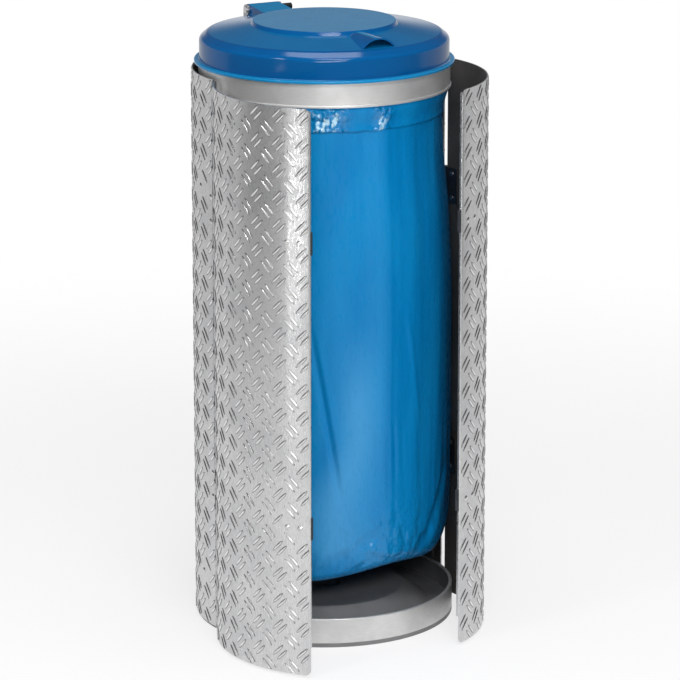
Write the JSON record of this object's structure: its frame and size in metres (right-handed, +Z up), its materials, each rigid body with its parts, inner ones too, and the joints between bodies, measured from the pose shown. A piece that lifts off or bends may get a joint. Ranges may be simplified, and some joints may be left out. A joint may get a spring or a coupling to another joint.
{
  "type": "waste sack stand",
  "caption": "Round waste sack stand with a tread-plate back panel, two swinging doors, a hinged lid, and a ring and clamp band that hold the sack.",
  "frame": {"origin": "centre of the base on the floor", "axes": "+Z up the axis of the round body, -Y out through the doorway, +X to the side of the right door"},
  "size_m": [0.4748, 0.5345, 0.9959],
  "materials": {
    "tread": "bright tread plate",
    "steel": "zinc plated, satin",
    "fixings": "plain steel",
    "tray": "moulded, satin black",
    "catch": "moulded, black",
    "lid": "moulded, semi gloss blue",
    "film": "thin blue film"
  },
  "bodies": {
    "stand": {"base_tray": "tray", "base_band": "steel", "left_upright": "steel", "right_upright": "steel", "back_upright": "steel", "carrier_ring": "steel", "clamp_band": "steel", "clamp_screw": "fixings", "clamp_nut": "fixings", "waste_sack": "film", "back_panel": "tread", "panel_rivets": "fixings", "lid_bracket": "steel", "lid_bracket_rivets": "fixings", "lid_pin": "fixings", "left_frame_leaf_rivets": "fixings", "left_lower_frame_leaf": "steel", "left_lower_hinge_pin": "fixings", "left_upper_frame_leaf": "steel", "left_upper_hinge_pin": "fixings", "right_frame_leaf_rivets": "fixings", "right_lower_frame_leaf": "steel", "right_lower_hinge_pin": "fixings", "right_upper_frame_leaf": "steel", "right_upper_hinge_pin": "fixings"},
    "left_door": {"left_door": "tread", "left_door_leaf_rivets": "fixings", "left_catch_rivets": "fixings", "left_lower_door_leaf": "steel", "left_upper_door_leaf": "steel", "lower_magnet_catch": "catch", "upper_magnet_catch": "catch"},
    "right_door": {"right_door": "tread", "right_door_leaf_rivets": "fixings", "right_catch_rivets": "fixings", "right_lower_door_leaf": "steel", "right_upper_door_leaf": "steel", "lower_strike_plate": "steel", "upper_strike_plate": "steel"},
    "lid": {"lid": "lid"}
  },
  "joints": [
    {"name": "lid_hinge", "type": "hinge", "parent": "stand", "child": "lid", "pos_m": [0, 0.21655, 0.9809], "axis": [-1, 0, 0], "range_deg": [0, 100]},
    {"name": "left_door_hinge", "type": "hinge", "parent": "stand", "child": "left_door", "pos_m": [-0.21192, -0.02978, 0.46], "axis": [0, 0, -1], "range_deg": [-44, 66]},
    {"name": "right_door_hinge", "type": "hinge", "parent": "stand", "child": "right_door", "pos_m": [0.21192, -0.02978, 0.46], "axis": [0, 0, 1], "range_deg": [-24, 86]}
  ]
}
